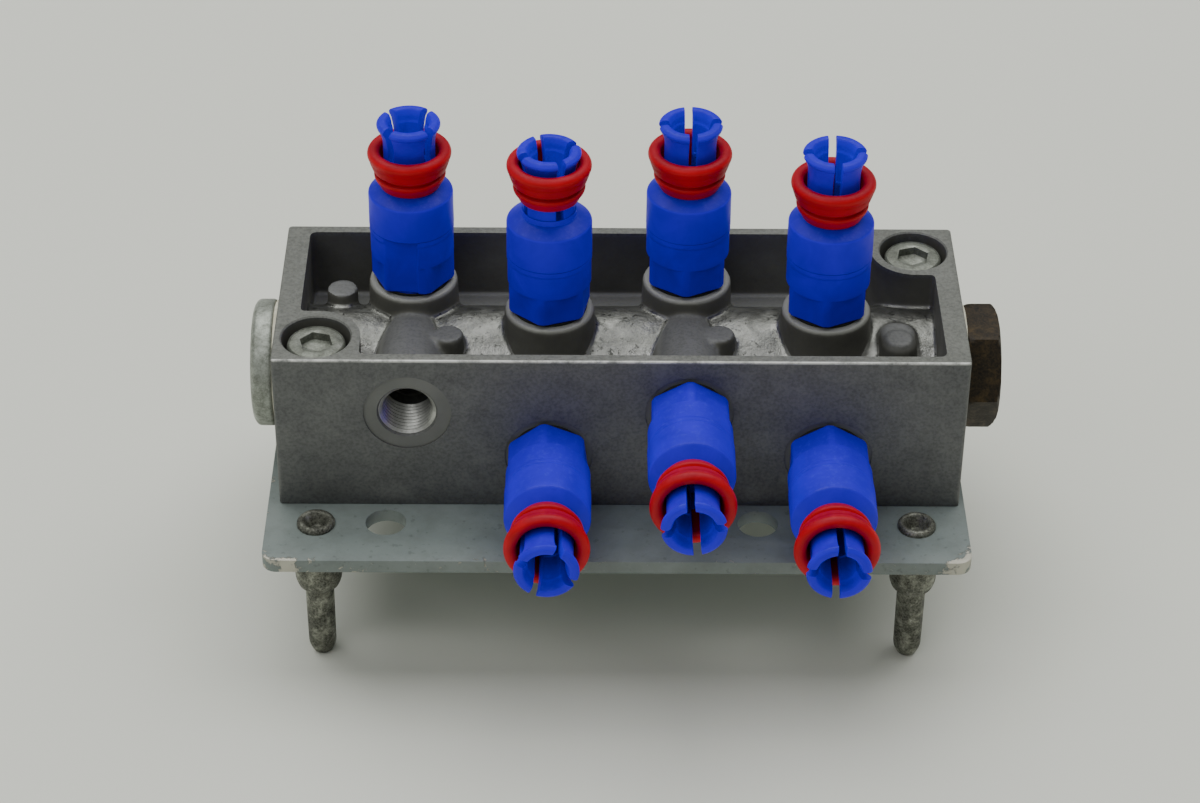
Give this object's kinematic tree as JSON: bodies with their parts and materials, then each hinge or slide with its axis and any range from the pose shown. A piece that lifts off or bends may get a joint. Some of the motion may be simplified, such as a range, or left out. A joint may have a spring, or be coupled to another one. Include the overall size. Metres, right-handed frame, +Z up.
{
  "type": "pneumatic distributor manifold",
  "caption": "Cast aluminium air distributor block with staggered tapped ports, blue push-in tube fittings with red lock rings, end plugs and a painted base plate on rivets.",
  "frame": {"origin": "middle of the underside of the object's box, at the tips of the four rivets", "axes": "+X along the block towards the hex end plug, +Z up out of the top ports, -Y out of the front ports"},
  "size_m": [0.1308, 0.0882, 0.0885],
  "materials": {
    "cast_aluminium": "as-cast, matt, worn bright on the front top edge",
    "grey_paint": "satin paint, chipped at the edges",
    "zinc_steel": "dull zinc plating",
    "worn_steel": "worn and stained",
    "dark_brass": "dark tarnish with bright worn edges",
    "brass": "turned",
    "blue_plastic": "moulded, satin",
    "red_plastic": "moulded, satin",
    "cream_seal": "matt",
    "black_rubber": "matt"
  },
  "bodies": {
    "distributor": {"manifold_block": "cast_aluminium", "block_rim": "cast_aluminium", "block_bosses": "cast_aluminium", "base_plate": "grey_paint", "cap_screw_left": "zinc_steel", "cap_screw_right": "zinc_steel", "screw_nut_left": "zinc_steel", "screw_nut_right": "zinc_steel", "rivet_front_left": "worn_steel", "rivet_front_right": "worn_steel", "rivet_back_left": "worn_steel", "rivet_back_right": "worn_steel", "end_plug_left": "zinc_steel", "end_plug_left_seal": "cream_seal", "end_plug_right": "dark_brass", "end_plug_right_seal": "cream_seal", "top_1_body": "blue_plastic", "top_1_nipple": "brass", "top_1_base_seal": "black_rubber", "top_1_tube_seal": "black_rubber", "top_2_body": "blue_plastic", "top_2_nipple": "brass", "top_2_base_seal": "black_rubber", "top_2_tube_seal": "black_rubber", "top_3_body": "blue_plastic", "top_3_nipple": "brass", "top_3_base_seal": "black_rubber", "top_3_tube_seal": "black_rubber", "top_4_body": "blue_plastic", "top_4_nipple": "brass", "top_4_base_seal": "black_rubber", "top_4_tube_seal": "black_rubber", "front_2_body": "blue_plastic", "front_2_nipple": "brass", "front_2_base_seal": "black_rubber", "front_2_tube_seal": "black_rubber", "front_3_body": "blue_plastic", "front_3_nipple": "brass", "front_3_base_seal": "black_rubber", "front_3_tube_seal": "black_rubber", "front_4_body": "blue_plastic", "front_4_nipple": "brass", "front_4_base_seal": "black_rubber", "front_4_tube_seal": "black_rubber"},
    "top_1_release_collet": {"top_1_collet": "blue_plastic"},
    "top_1_lock": {"top_1_lock_ring": "red_plastic"},
    "top_2_release_collet": {"top_2_collet": "blue_plastic"},
    "top_2_lock": {"top_2_lock_ring": "red_plastic"},
    "top_3_release_collet": {"top_3_collet": "blue_plastic"},
    "top_3_lock": {"top_3_lock_ring": "red_plastic"},
    "top_4_release_collet": {"top_4_collet": "blue_plastic"},
    "top_4_lock": {"top_4_lock_ring": "red_plastic"},
    "front_2_release_collet": {"front_2_collet": "blue_plastic"},
    "front_2_lock": {"front_2_lock_ring": "red_plastic"},
    "front_3_release_collet": {"front_3_collet": "blue_plastic"},
    "front_3_lock": {"front_3_lock_ring": "red_plastic"},
    "front_4_release_collet": {"front_4_collet": "blue_plastic"},
    "front_4_lock": {"front_4_lock_ring": "red_plastic"}
  },
  "joints": [
    {"name": "top_1_collet_press", "type": "slide", "parent": "distributor", "child": "top_1_release_collet", "axis": [0, 0, 1], "range_m": [-0.001, 0], "stiffness_N_per_m": 300},
    {"name": "top_1_lock_slide", "type": "slide", "parent": "distributor", "child": "top_1_lock", "axis": [0, 0, 1], "range_m": [0, 0.00325]},
    {"name": "top_2_collet_press", "type": "slide", "parent": "distributor", "child": "top_2_release_collet", "axis": [0, 0, 1], "range_m": [-0.001, 0], "stiffness_N_per_m": 300},
    {"name": "top_2_lock_slide", "type": "slide", "parent": "distributor", "child": "top_2_lock", "axis": [0, 0, 1], "range_m": [-0.00325, 0]},
    {"name": "top_3_collet_press", "type": "slide", "parent": "distributor", "child": "top_3_release_collet", "axis": [0, 0, 1], "range_m": [-0.001, 0], "stiffness_N_per_m": 300},
    {"name": "top_3_lock_slide", "type": "slide", "parent": "distributor", "child": "top_3_lock", "axis": [0, 0, 1], "range_m": [0, 0.00325]},
    {"name": "top_4_collet_press", "type": "slide", "parent": "distributor", "child": "top_4_release_collet", "axis": [0, 0, 1], "range_m": [-0.001, 0], "stiffness_N_per_m": 300},
    {"name": "top_4_lock_slide", "type": "slide", "parent": "distributor", "child": "top_4_lock", "axis": [0, 0, 1], "range_m": [0, 0.00325]},
    {"name": "front_2_collet_press", "type": "slide", "parent": "distributor", "child": "front_2_release_collet", "axis": [0, -1, 0], "range_m": [-0.001, 0], "stiffness_N_per_m": 300},
    {"name": "front_2_lock_slide", "type": "slide", "parent": "distributor", "child": "front_2_lock", "axis": [0, -1, 0], "range_m": [0, 0.00325]},
    {"name": "front_3_collet_press", "type": "slide", "parent": "distributor", "child": "front_3_release_collet", "axis": [0, -1, 0], "range_m": [-0.001, 0], "stiffness_N_per_m": 300},
    {"name": "front_3_lock_slide", "type": "slide", "parent": "distributor", "child": "front_3_lock", "axis": [0, -1, 0], "range_m": [0, 0.00325]},
    {"name": "front_4_collet_press", "type": "slide", "parent": "distributor", "child": "front_4_release_collet", "axis": [0, -1, 0], "range_m": [-0.001, 0], "stiffness_N_per_m": 300},
    {"name": "front_4_lock_slide", "type": "slide", "parent": "distributor", "child": "front_4_lock", "axis": [0, -1, 0], "range_m": [0, 0.00325]}
  ]
}
